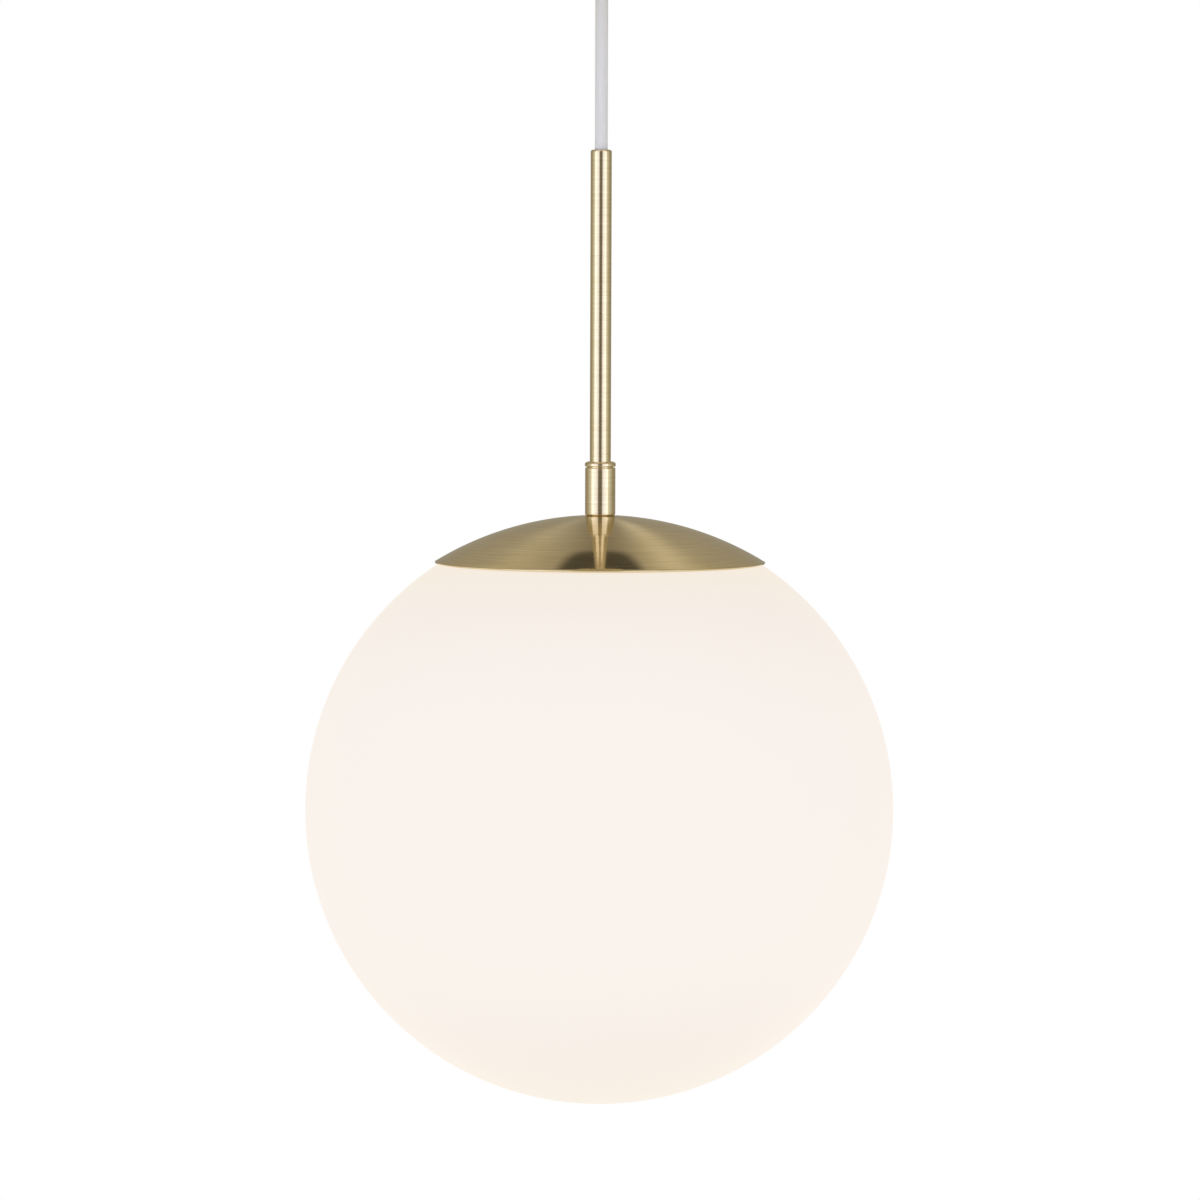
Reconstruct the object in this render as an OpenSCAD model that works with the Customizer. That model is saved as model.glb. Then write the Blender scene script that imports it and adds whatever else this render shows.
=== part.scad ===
/* [Globe] */
// Outside diameter of the opal glass globe
globe_d = 350; // [320:5:380]
// Thickness of the blown glass
glass_t = 3; // [2:0.5:4]
// Diameter of the opening ground through the top of the globe
opening_d = 130; // [130:0.5:134]

/* [Dome cap] */
// How much larger the dome's radius of curvature is than the globe's radius
dome_flare = 12.5; // [12:0.5:16]
// Diameter over the rim of the dome cap
dome_d = 196.4; // [190:0.2:210]
// Thickness of the spun sheet
dome_t = 0.8; // [0.6:0.1:0.8]
// Gap between the full sphere of the glass and the apex of the dome
dome_gap = 0.4; // [0.4:0.1:1]

/* [Stem] */
// Outside diameter of the stem tube
stem_d = 12.5; // [12:0.5:14]
// Wall of the stem tube
stem_wall = 1; // [0.8:0.1:1]
// Length of stem seen above the collar
stem_reach = 184.5; // [100:0.5:400]
// Outside diameter of the ferrule
ferrule_d = 18; // [17:0.5:20]
// Length of the ferrule, up to the foot of its collar
ferrule_len = 28.9; // [27:0.1:31]
// Height of the collar ring on the ferrule
collar_len = 3; // [2.5:0.1:4]

/* [Cord] */
// Diameter of the woven cord
cord_d = 7.6; // [7:0.1:7.6]
// Diameter of one insulated core
core_d = 2.2; // [1.8:0.1:2.4]

/* [Ceiling fitting] */
// Outside diameter of the canopy cup
canopy_d = 110; // [110:1:120]
// Wall of the canopy cup
canopy_wall = 1; // [0.8:0.1:1.2]
// Length of the ceiling bracket
bracket_len = 100; // [98:1:100]
// Width of the ceiling bracket
bracket_w = 22; // [20:1:24]
// Thickness of the bracket steel
bracket_t = 1.5; // [1.2:0.1:2]
// Distance between the two ceiling slots
slot_spacing = 60; // [56:1:64]
// Length of a ceiling slot from end to end
slot_len = 12; // [8:1:14]
// Width of a ceiling slot
slot_w = 4.5; // [4:0.1:5]

/* [Hidden] */
$fn = 96;

gap = 0.05; // clearance between pieces that are screwed or pressed together
through = 1; // how far a cutting body runs past the face that it cuts
cord_r = cord_d / 2;
cord_bore = cord_r + gap;

// Heights below are measured up from the centre of the globe.
globe_r = globe_d / 2;
dome_r = globe_r + dome_flare;
opening_r = opening_d / 2;
dome_centre = globe_r + dome_gap - dome_r;
dome_apex = dome_centre + dome_r;
dome_rim = dome_centre + sqrt(pow(dome_r, 2) - pow(dome_d / 2, 2));
ferrule_foot = dome_apex - gap;
collar_foot = ferrule_foot + ferrule_len;
collar_top = collar_foot + collar_len;
stem_r = stem_d / 2;
stem_top = collar_top + stem_reach;
stem_foot = ferrule_foot + 16;
stem_lip = 1.3; // height of the rounded lip at the top of the stem
bush_top = stem_top + 1.2;
bend_drop = 136.5; // how far below the ceiling the cord bends at the stem
globe_drop = bend_drop + bush_top + 0.5;

// Lampholder for a 27 mm screw lamp
holder_r = 19.5;
holder_top = globe_r - 13;
holder_split = holder_top - 20; // joint between the cap and the sleeve
holder_foot = holder_split - 36;
insert_r = 17.2;
insert_foot = holder_split - 2;
insert_top = insert_foot + 7;
shell_r = 13.4;
shell_t = 0.8;
shell_foot = insert_foot - 27;
mouth_r = 16.8; // widened mouth of the sleeve, where the lamp's neck sits
terminal_x = 9; // distance of each terminal screw from the axis

// Screw-base lamp
bulb_tip = insert_foot - 5.2;
base_r = 13.1;
base_top = bulb_tip - 4.4;
base_foot = base_top - 18.4;
bulb_r = 30;
bulb_centre = bulb_tip - 78.8;
bulb_split = bulb_centre + 16; // joint between the housing and the diffuser
board_r = 23.5;
led_count = 12;

// Threaded nipple, an M10 x 1 hollow rod, and what it clamps
nipple_r = 5;
nipple_bore = 4;
nipple_foot = holder_top - 8;
nipple_top = ferrule_foot + 12;
nut_r = 8; // corner radius of the thin nuts
nut_h = 3;
carrier_r = 46;
carrier_t = 1.5;
carrier_top = dome_inside(carrier_r) - gap;
carrier_foot = carrier_top - carrier_t;
tag_t = 0.8;

// Spring arms that grip the edge of the globe's opening
spring_count = 3;
spring_w = 10;
spring_t = 0.6;
spring_steps = 12;
rivet_at = 38; // distance of each rivet from the axis
rivet_r = 1.5;
rivet_head_r = 3;
rivet_head_h = 1.2;

// Felt ring between the dome and the glass
felt_in = 86;
felt_out = 91;
felt_t = 0.7;

// Ceiling fitting, measured from the ceiling plane
canopy_h = 28;
screw_drop = 8; // height of the side screws below the ceiling
screw_r = 2;
ear_drop = 14;
cup_corner = 5;
cup_top = -0.3;
cup_foot = cup_top - canopy_h;
gland_foot = -41;
gland_flange_h = 3;
gland_spigot_h = 6;
gland_r = 8.5;
block_y = 24;

// Route of the cord that hangs free, from the gland to the stem
cord_route = [
    [0, 0, -43], [0, 0, -60], [0, 0, -80], [0, 0, -100], [0, 0, -120], [0, 0, -135]
];

function dome_inside(r) = dome_centre + sqrt(pow(dome_r - dome_t, 2) - r * r);
function unit(v) = v / norm(v);
function heading(p, i) = unit(p[min(i + 1, len(p) - 1)] - p[max(i - 1, 0)]);
function arc(x, z, r, from, to, steps) =
    [for (k = [0:steps]) let (a = from + (to - from) * k / steps) [x + r * cos(a), z + r * sin(a)]];

// Point on a cubic curve with four control points
function curve(p, t) =
    pow(1 - t, 3) * p[0] + 3 * pow(1 - t, 2) * t * p[1] + 3 * (1 - t) * t * t * p[2] + pow(t, 3) * p[3];

// Outline of a strip of even thickness along a line of points
function strip(p, t) =
    let (side = [for (i = [0:len(p) - 1]) let (h = heading(p, i)) [-h[1], h[0]] * t / 2])
    concat([for (i = [0:len(p) - 1]) p[i] + side[i]], [for (i = [len(p) - 1:-1:0]) p[i] - side[i]]);

// Round cord or wire swept along a line of points, with flat ends
module sweep(route, r, sides, across) {
    rings = len(route);
    points = [
        for (i = [0:rings - 1])
            let (ahead = heading(route, i), u = unit(cross(across, ahead)), v = cross(ahead, u))
            for (k = [0:sides - 1])
                route[i] + r * (cos(360 * k / sides) * u + sin(360 * k / sides) * v)
    ];
    walls = [
        for (i = [0:rings - 2], k = [0:sides - 1])
            let (next = (k + 1) % sides)
            [i * sides + k, (i + 1) * sides + k, (i + 1) * sides + next, i * sides + next]
    ];
    ends = [[for (k = [0:sides - 1]) k], [for (k = [sides - 1:-1:0]) (rings - 1) * sides + k]];
    polyhedron(points, concat(walls, ends), convexity = 4);
}

// Solid cylinder between two heights
module rod(r, low, high) {
    translate([0, 0, low]) cylinder(r = r, h = high - low);
}

// Tube between two heights
module pipe(r, bore, low, high) {
    difference() {
        rod(r, low, high);
        rod(bore, low - through, high + through);
    }
}

// Thin hexagon nut on the threaded nipple
module thin_nut(low) {
    difference() {
        translate([0, 0, low]) cylinder(r = nut_r, h = nut_h, $fn = 6);
        rod(nipple_r + gap, low - through, low + nut_h + through);
    }
}

// Part of a sphere's shell round the dome's centre, between two distances from the axis
module cap_shell(outer, inner, near, far) {
    intersection() {
        difference() {
            translate([0, 0, dome_centre]) sphere(r = outer, $fn = 180);
            translate([0, 0, dome_centre]) sphere(r = inner, $fn = 180);
        }
        pipe(far, near, dome_centre, dome_apex + through);
    }
}

// Puts its children at the globe's centre
module at_globe() {
    translate([0, 0, -globe_drop]) children();
}

module ear_slot(side) {
    translate([side * bracket_len / 2, 0, -screw_drop]) {
        rotate([0, 90, 0]) cylinder(r = screw_r + 0.3, h = 4 * bracket_t, center = true);
        translate([-2 * bracket_t, -screw_r - 0.3, -ear_drop])
            cube([4 * bracket_t, 2 * screw_r + 0.6, ear_drop]);
    }
}

module ceiling_slot(x) {
    for (end = [-1, 1])
        translate([x + end * (slot_len - slot_w) / 2, 0, 0]) rod(slot_w / 2, -bracket_t - through, through);
    translate([x - (slot_len - slot_w) / 2, -slot_w / 2, -bracket_t - through])
        cube([slot_len - slot_w, slot_w, bracket_t + 2 * through]);
}

earth_x = 14; // place of the earth screw along the bracket

module ceiling_bracket() {
    color("silver")
    difference() {
        union() {
            translate([-bracket_len / 2, -bracket_w / 2, -bracket_t])
                cube([bracket_len, bracket_w, bracket_t]);
            for (x = [-bracket_len / 2, bracket_len / 2 - bracket_t])
                translate([x, -bracket_w / 2, -ear_drop]) cube([bracket_t, bracket_w, ear_drop]);
        }
        for (side = [-1, 1]) {
            ceiling_slot(side * slot_spacing / 2);
            ear_slot(side);
        }
        translate([-earth_x, 0, 0]) rod(nipple_r, -bracket_t - through, through);
        translate([earth_x, 0, 0]) rod(screw_r + gap, -bracket_t - through, through);
    }
}

module bracket_earth_screw() {
    color("goldenrod")
    translate([earth_x, 0, 0])
    difference() {
        union() {
            rod(screw_r, -bracket_t, -0.1);
            rod(3.6, -bracket_t - 2.4, -bracket_t);
        }
        translate([-4, -0.4, -bracket_t - 2.4 - through]) cube([8, 0.8, 1.8]);
    }
}

module cup_solid(r, low, high, corner) {
    rotate_extrude()
        polygon(concat([[0, high], [0, low]], arc(r - corner, low + corner, corner, -90, 0, 8), [[r, high]]));
}

module canopy_cup() {
    color("darkgoldenrod")
    difference() {
        cup_solid(canopy_d / 2, cup_foot, cup_top, cup_corner);
        cup_solid(
            canopy_d / 2 - canopy_wall, cup_foot + canopy_wall, cup_top + through, cup_corner - canopy_wall
        );
        rod(nipple_r + gap, cup_foot - through, cup_foot + canopy_wall + through);
        translate([0, 0, -screw_drop]) rotate([0, 90, 0])
            cylinder(r = screw_r + gap, h = 2 * canopy_d, center = true);
    }
}

module canopy_screws() {
    head_r = 4.5;
    head_h = 5;
    reach = 9.5;
    color("goldenrod")
    for (turn = [0, 180])
        rotate([0, 0, turn]) translate([canopy_d / 2, 0, -screw_drop]) rotate([0, 90, 0])
            difference() {
                union() {
                    rod(screw_r, -reach, gap);
                    rod(head_r, gap, head_h - 0.6);
                    translate([0, 0, head_h - 0.6]) cylinder(r1 = head_r, r2 = head_r - 0.6, h = 0.6);
                }
                translate([-head_r - 1, -0.5, head_h - 1.2]) cube([2 * head_r + 2, 1, 2]);
            }
}

// Hollow stud through the cup, with a flange under it and a spigot for the clamping cap
module gland_body() {
    color("goldenrod")
    difference() {
        union() {
            rod(nipple_r, cup_foot, cup_foot + 8);
            rod(gland_r, cup_foot - gland_flange_h, cup_foot);
            rod(5.5, cup_foot - gland_flange_h - gland_spigot_h, cup_foot - gland_flange_h);
        }
        rod(cord_r + 0.3, cup_foot - 10, cup_foot + 10);
    }
}

module gland_lock_nut() {
    color("silver")
    difference() {
        translate([0, 0, cup_foot + canopy_wall]) cylinder(r = nut_r, h = nut_h, $fn = 6);
        rod(nipple_r + gap, cup_foot, cup_foot + 6);
    }
}

gland_cap_top = cup_foot - gland_flange_h - gap;
grip_top = cup_foot - gland_flange_h - gland_spigot_h - gap;
grip_foot = gland_foot + 1.5;

module gland_cap() {
    color("goldenrod")
    difference() {
        union() {
            rod(7.5, gland_foot + 2, gland_cap_top);
            translate([0, 0, gland_foot]) cylinder(r1 = 6, r2 = 7.5, h = 2);
        }
        rod(5.5 + gap, grip_foot, gland_cap_top + through);
        rod(cord_r + 0.6, gland_foot - through, grip_foot + through);
    }
}

module gland_grip() {
    color("dimgray") pipe(5.5, cord_bore, grip_foot + gap, grip_top);
}

cord_end = -18;

module cord_in_canopy() {
    color("lavender") rod(cord_r, gland_foot, cord_end);
}

module canopy_cores() {
    core_colours = ["sienna", "royalblue", "yellowgreen"];
    for (k = [0:2])
        color(core_colours[k])
        sweep([
            [(k - 1) * 2.4, 0, cord_end], [(k - 1) * 2.4, 0, cord_end + 1.5],
            [(k - 1) * 2.4, 1.5, cord_end + 4], [(k - 1) * 3, 5, cord_end + 5],
            [(k - 1) * 6, 12, cord_end + 3], [(k - 1) * 9, 18, cord_end - 2],
            [(k - 1) * 10, block_y, cord_end - 3]
        ], core_d / 2, 8, [1, 0, 0]);
}

block_foot = cup_foot + canopy_wall + 0.2;
block_h = 12;
block_l = 14;

module terminal_block() {
    color("whitesmoke")
    difference() {
        union() {
            for (k = [-1:1])
                translate([10 * k - 4.5, block_y + gap, block_foot]) cube([9, block_l, block_h]);
            translate([-14, block_y + 2, block_foot]) cube([28, block_l - 4, block_h / 2]);
        }
        for (k = [-1:1]) {
            translate([10 * k, block_y - 1, cord_end - 3]) rotate([-90, 0, 0])
                cylinder(r = 1.6, h = block_l + 3);
            for (y = [3.5, 10.5])
                translate([10 * k, block_y + y, 0]) rod(1.55, cord_end - 3, block_foot + block_h + through);
        }
    }
}

module terminal_screws() {
    color("goldenrod")
    for (k = [-1:1], y = [3.5, 10.5])
        translate([10 * k, block_y + y, 0])
            difference() {
                rod(1.5, cord_end - 1.3, block_foot + block_h - 0.8);
                translate([-2, -0.25, block_foot + block_h - 1.6]) cube([4, 0.5, 2]);
            }
}

module hanging_cord() {
    color("lavender") sweep(cord_route, cord_r, 12, [1, 0, 0]);
}

module stem_end_bush() {
    color("dimgray") at_globe()
    difference() {
        union() {
            rod(stem_r - stem_wall - gap, stem_top - 14, stem_top);
            rod(4.95, stem_top, bush_top);
        }
        rod(cord_bore, stem_top - 15, bush_top + through);
    }
}

module stem_tube() {
    color("darkgoldenrod") at_globe()
    rotate_extrude()
        polygon(concat(
            [[stem_r - stem_wall, stem_foot], [stem_r, stem_foot]],
            [for (a = [0:15:90]) [stem_r - stem_wall * (1 - cos(a)), stem_top - stem_lip * (1 - sin(a))]]
        ));
}

module cord_in_stem() {
    color("lavender") at_globe() rod(cord_r, nipple_foot - 1.8, bush_top);
}

module ferrule() {
    outer_r = ferrule_d / 2;
    chamfer = 0.6;
    neck = 0.4;
    color("darkgoldenrod") at_globe()
    difference() {
        union() {
            translate([0, 0, ferrule_foot]) cylinder(r1 = outer_r - chamfer, r2 = outer_r, h = chamfer);
            rod(outer_r, ferrule_foot + chamfer, collar_foot - chamfer);
            rod(outer_r - neck, collar_foot - chamfer, collar_foot);
        }
        rod(nipple_r + gap, ferrule_foot - through, nipple_top + 0.5);
        rod(cord_r + 0.4, ferrule_foot, collar_top);
        rod(stem_r + gap, stem_foot - gap, collar_top);
    }
}

module ferrule_collar() {
    bead_r = ferrule_d / 2 + 0.2;
    color("goldenrod") at_globe()
    rotate_extrude()
        polygon([
            [stem_r + gap, collar_foot], [bead_r - 0.5, collar_foot], [bead_r, collar_foot + 0.8],
            [bead_r, collar_foot + 1.6], [bead_r - 0.8, collar_top - 0.6],
            [stem_r + 1, collar_top], [stem_r + gap, collar_top]
        ]);
}

module dome_cap() {
    color("goldenrod") at_globe() cap_shell(dome_r, dome_r - dome_t, nipple_r + gap, dome_d / 2);
}

module threaded_nipple() {
    color("silver") at_globe() pipe(nipple_r, nipple_bore, nipple_foot, nipple_top);
}

module dome_nut() {
    color("silver") at_globe() thin_nut(dome_inside(nut_r) - gap - nut_h);
}

module carrier_plate() {
    color("gainsboro") at_globe()
    difference() {
        rod(carrier_r, carrier_foot, carrier_top);
        rod(nipple_r + gap, carrier_foot - through, carrier_top + through);
        for (k = [0:spring_count - 1])
            rotate([0, 0, k * 360 / spring_count]) translate([rivet_at, 0, 0])
                rod(rivet_r + gap, carrier_foot - through, carrier_top + through);
    }
}

module earth_tag() {
    color("silver") at_globe()
    difference() {
        union() {
            rod(nut_r + 0.5, carrier_foot - tag_t, carrier_foot);
            rotate([0, 0, 60]) translate([0, -2.5, carrier_foot - tag_t]) cube([18, 5, tag_t]);
        }
        rod(nipple_r + gap, carrier_foot - 2 * tag_t, carrier_foot + tag_t);
    }
}

module carrier_nut() {
    color("silver") at_globe() thin_nut(carrier_foot - tag_t - nut_h);
}

// Bowed leaf: a foot under the carrier plate, then a bulge that bears on the edge of the glass
module glass_spring(turn) {
    foot = carrier_foot - spring_t / 2;
    bow = [[44, foot], [69, foot], [67.8, foot - 13], [56, foot - 29]];
    line = concat([[rivet_at - 5, foot]], [for (k = [0:spring_steps]) curve(bow, k / spring_steps)]);
    color("lightgray") at_globe()
    rotate([0, 0, turn])
    difference() {
        rotate([90, 0, 0]) linear_extrude(height = spring_w, center = true) polygon(strip(line, spring_t));
        translate([rivet_at, 0, 0]) rod(rivet_r + gap, foot - 2, foot + 2);
    }
}

module glass_spring_1() {
    glass_spring(0);
}

module glass_spring_2() {
    glass_spring(120);
}

module glass_spring_3() {
    glass_spring(240);
}

module spring_rivets() {
    head_top = carrier_foot - spring_t;
    color("silver") at_globe()
    for (k = [0:spring_count - 1])
        rotate([0, 0, k * 360 / spring_count]) translate([rivet_at, 0, 0]) {
            rod(rivet_r, head_top, carrier_top);
            rod(rivet_head_r, head_top - rivet_head_h, head_top);
        }
}

module felt_ring() {
    outer = dome_r - dome_t - gap;
    color("dimgray") at_globe() cap_shell(outer, outer - felt_t, felt_in, felt_out);
}

module lampholder_cap() {
    color("dimgray") at_globe()
    difference() {
        rotate_extrude()
            polygon([
                [0, holder_top], [9, holder_top], [10, holder_top - 1], [10, holder_top - 4],
                [holder_r, holder_split + 7], [holder_r, holder_split], [0, holder_split]
            ]);
        rod(nipple_r + gap, holder_top - 11, holder_top + through);
        translate([0, 0, insert_top]) cylinder(r1 = insert_r + 0.3, r2 = 10, h = 5);
        rod(insert_r + 0.3, holder_split - through, insert_top);
    }
}

module lampholder_insert() {
    color("white") at_globe()
    difference() {
        rod(insert_r, insert_foot, insert_top);
        for (x = [-terminal_x, terminal_x])
            translate([x, 0, 0]) rod(rivet_r + gap, insert_foot - through, insert_top + through);
    }
}

module lampholder_screws() {
    color("goldenrod") at_globe()
    for (x = [-terminal_x, terminal_x])
        translate([x, 0, 0])
            difference() {
                union() {
                    rod(rivet_r, insert_foot + 1, insert_top);
                    rod(2.8, insert_top, insert_top + 1.8);
                }
                translate([-3, -0.3, insert_top + 1]) cube([6, 0.6, 2]);
            }
}

module lamp_leads() {
    lead_r = 0.8;
    sheath_end = nipple_foot - 1.8;
    lead_colours = ["sienna", "royalblue"];
    at_globe()
    for (k = [0:1])
        color(lead_colours[k])
        rotate([0, 0, 180 * k])
            sweep([
                [1.4, 0, sheath_end], [1.4, 0, sheath_end - 1], [2, 0, sheath_end - 1.8],
                [3.4, 0, sheath_end - 2.3],
                [5, 0, sheath_end - 2.4], [6.5, 0, sheath_end - 2.4]
            ], lead_r, 8, [0, 1, 0]);
}

module lampholder_shell() {
    color("goldenrod") at_globe() pipe(shell_r + shell_t, shell_r, shell_foot, insert_foot);
}

module lampholder_contact() {
    color("gold") at_globe() {
        rod(1.5, bulb_tip + 1.3, insert_foot);
        rod(3.5, bulb_tip + 0.3, bulb_tip + 1.3);
    }
}

module lampholder_sleeve() {
    color("dimgray") at_globe()
    difference() {
        union() {
            rod(holder_r, holder_foot, holder_split);
            rod(holder_r + 1.5, holder_foot, holder_foot + 3);
        }
        rod(shell_r + shell_t + gap, holder_foot - through, holder_split + through);
        rod(mouth_r, holder_foot - through, shell_foot);
        rod(insert_r + 0.3, insert_foot - gap, holder_split + through);
    }
}

module glass_globe() {
    color("white") at_globe()
    difference() {
        sphere(r = globe_r, $fn = 180);
        sphere(r = globe_r - glass_t, $fn = 180);
        rod(opening_r, 0, globe_r + through);
    }
}

contact_foot = bulb_tip - 1.2;

module bulb_contact() {
    color("silver") at_globe() {
        rod(4.5, contact_foot, bulb_tip - 0.4);
        translate([0, 0, bulb_tip - 0.4]) cylinder(r1 = 4.5, r2 = 3.8, h = 0.4);
    }
}

module bulb_insulator() {
    color("black") at_globe()
    translate([0, 0, base_top]) cylinder(r1 = 11.5, r2 = 5, h = contact_foot - base_top);
}

module bulb_screw_shell() {
    color("silver") at_globe() pipe(base_r, base_r - 0.5, base_foot, base_top);
}

module bulb_housing() {
    wall = 1.4;
    outside = [
        [12.5, base_foot + 8], [12.5, base_foot - gap], [13.8, base_foot - gap], [14.5, base_foot - 4],
        [17, base_foot - 14], [21.5, bulb_split + 14], [25, bulb_split + 4], [25.6, bulb_split]
    ];
    inside = [
        [25.6 - wall, bulb_split], [25 - wall, bulb_split + 4], [21.5 - wall, bulb_split + 14],
        [17 - wall, base_foot - 14], [12.5 - wall, base_foot + 8]
    ];
    color("gainsboro") at_globe() rotate_extrude() polygon(concat(outside, inside));
}

module bulb_driver() {
    color("seagreen") at_globe() {
        translate([-9, -0.8, bulb_split + 10]) cube([18, 1.6, 34]);
        for (step = [0, 1])
            translate([0, 0.8, bulb_split + 16 + 10 * step]) cube([6, 4, 6]);
    }
}

module bulb_led_board() {
    color("whitesmoke") at_globe() rod(board_r, bulb_split + 0.8, bulb_split + 2.4);
}

module bulb_leds() {
    chip = 2.8;
    color("yellow") at_globe()
    for (k = [0:led_count - 1])
        rotate([0, 0, k * 360 / led_count])
            translate([16 - chip / 2, -chip / 2, bulb_split + 0.1]) cube([chip, chip, 0.7]);
}

module bulb_diffuser() {
    color("white") at_globe()
    translate([0, 0, bulb_centre])
    difference() {
        sphere(r = bulb_r, $fn = 120);
        sphere(r = bulb_r - 1.2, $fn = 120);
        rod(bulb_r + through, bulb_split - bulb_centre, bulb_r + through);
    }
}

ceiling_bracket();
bracket_earth_screw();
canopy_cup();
canopy_screws();
gland_body();
gland_lock_nut();
gland_cap();
gland_grip();
cord_in_canopy();
canopy_cores();
terminal_block();
terminal_screws();
hanging_cord();
stem_end_bush();
stem_tube();
cord_in_stem();
ferrule();
ferrule_collar();
dome_cap();
threaded_nipple();
dome_nut();
carrier_plate();
earth_tag();
carrier_nut();
glass_spring_1();
glass_spring_2();
glass_spring_3();
spring_rivets();
felt_ring();
lampholder_cap();
lampholder_insert();
lampholder_screws();
lamp_leads();
lampholder_shell();
lampholder_contact();
lampholder_sleeve();
glass_globe();
bulb_contact();
bulb_insulator();
bulb_screw_shell();
bulb_housing();
bulb_driver();
bulb_led_board();
bulb_leds();
bulb_diffuser();
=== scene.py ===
import math

import bpy
from mathutils import Matrix, Vector


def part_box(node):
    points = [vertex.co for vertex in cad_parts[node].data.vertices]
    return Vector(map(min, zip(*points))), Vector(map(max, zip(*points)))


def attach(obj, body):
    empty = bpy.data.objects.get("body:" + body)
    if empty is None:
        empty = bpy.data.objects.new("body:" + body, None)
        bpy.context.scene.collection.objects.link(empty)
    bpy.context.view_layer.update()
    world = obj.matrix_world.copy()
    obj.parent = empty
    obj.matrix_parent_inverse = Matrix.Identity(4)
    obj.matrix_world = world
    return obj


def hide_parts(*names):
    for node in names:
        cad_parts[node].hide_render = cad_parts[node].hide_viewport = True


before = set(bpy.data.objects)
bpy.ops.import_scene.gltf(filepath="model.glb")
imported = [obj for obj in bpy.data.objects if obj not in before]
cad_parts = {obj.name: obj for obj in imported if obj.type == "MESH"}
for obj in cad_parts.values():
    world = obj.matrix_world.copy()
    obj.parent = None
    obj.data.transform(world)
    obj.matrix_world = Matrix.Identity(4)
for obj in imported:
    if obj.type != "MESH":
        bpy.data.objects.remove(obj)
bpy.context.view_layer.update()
mm = 0.001
globeLow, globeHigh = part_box("glass_globe")
globeRadius = globeHigh.x
globeCentre = globeLow.z + globeRadius
print("frame loaded, globe centre at", round(globeCentre, 4))


shot = {  # metres, degrees, and millimetres for the lens
    "distance": 3.5, "aboveGlobe": 0.3408, "sideStep": -0.0006,
    "tiltDown": 3.53, "roll": 0.18, "lens": 176.95,
}

bpy.ops.object.camera_add(
    location=(shot["sideStep"], -shot["distance"], globeCentre + shot["aboveGlobe"]),
    rotation=(math.radians(90 - shot["tiltDown"]), -math.radians(shot["roll"]), 0),
)
camera = bpy.context.object
camera.data.lens = shot["lens"]
camera.data.clip_end = 50
bpy.context.scene.camera = camera


# shader maths: wraps a socket so that expressions add their own nodes
class Signal:
    def __init__(self, tree, socket=None):
        self.tree = tree
        self.socket = socket

    def node(self, kind, settings=None, inputs=None, out=0):
        made = self.tree.nodes.new("ShaderNode" + kind)
        for name, value in (settings or {}).items():
            setattr(made, name, value)
        for name, value in (inputs or {}).items():
            if isinstance(value, Signal):
                self.tree.links.new(value.socket, made.inputs[name])
            else:
                made.inputs[name].default_value = value
        return Signal(self.tree, made.outputs[out] if made.outputs else None)

    def maths(self, operation, first, second=0.0, third=0.0):
        return self.node("Math", {"operation": operation}, {0: first, 1: second, 2: third})

    def __add__(self, other):
        return self.maths("ADD", self, other)

    def __radd__(self, other):
        return self.maths("ADD", other, self)

    def __sub__(self, other):
        return self.maths("SUBTRACT", self, other)

    def __rsub__(self, other):
        return self.maths("SUBTRACT", other, self)

    def __mul__(self, other):
        return self.maths("MULTIPLY", self, other)

    def __rmul__(self, other):
        return self.maths("MULTIPLY", other, self)

    def __truediv__(self, other):
        return self.maths("DIVIDE", self, other)

    def __rtruediv__(self, other):
        return self.maths("DIVIDE", other, self)

    def __pow__(self, other):
        return self.maths("POWER", self, other)

    def __rpow__(self, other):
        return self.maths("POWER", other, self)


def startMaterial(name):
    made = bpy.data.materials.new(name)
    made.use_nodes = True
    made.node_tree.nodes.clear()
    return made, Signal(made.node_tree)


def endMaterial(made, shader):
    shader.node("OutputMaterial", None, {"Surface": shader})
    return made


def axes(start):  # the surface point's own x, y and z
    place = start.node("TexCoord", out="Object")
    return [place.node("SeparateXYZ", None, {"Vector": place}, out=k) for k in range(3)]


def cloud(start, x, y, z, detail=3.0, rough=0.55):  # noise with its own scale along each axis
    vector = start.node("CombineXYZ", None, {"X": x, "Y": y, "Z": z})
    return start.node("TexNoise", None, {
        "Vector": vector, "Scale": 1.0, "Detail": detail, "Roughness": rough,
    })


def mixed(start, amount, first, second):  # two colours, each three numbers or another shader's colour
    first, second = [end if isinstance(end, Signal) else (*end, 1) for end in (first, second)]
    return start.node("Mix", {"data_type": "RGBA"}, {0: amount, 6: first, 7: second}, out=2)


def within(start, value, low, high):  # 0 below low, 1 above high
    return start.node("MapRange", None, {"Value": value, "From Min": low, "From Max": high})


def bumped(start, height, strength, distance):
    return start.node("Bump", None, {"Height": height, "Strength": strength, "Distance": distance})


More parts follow.
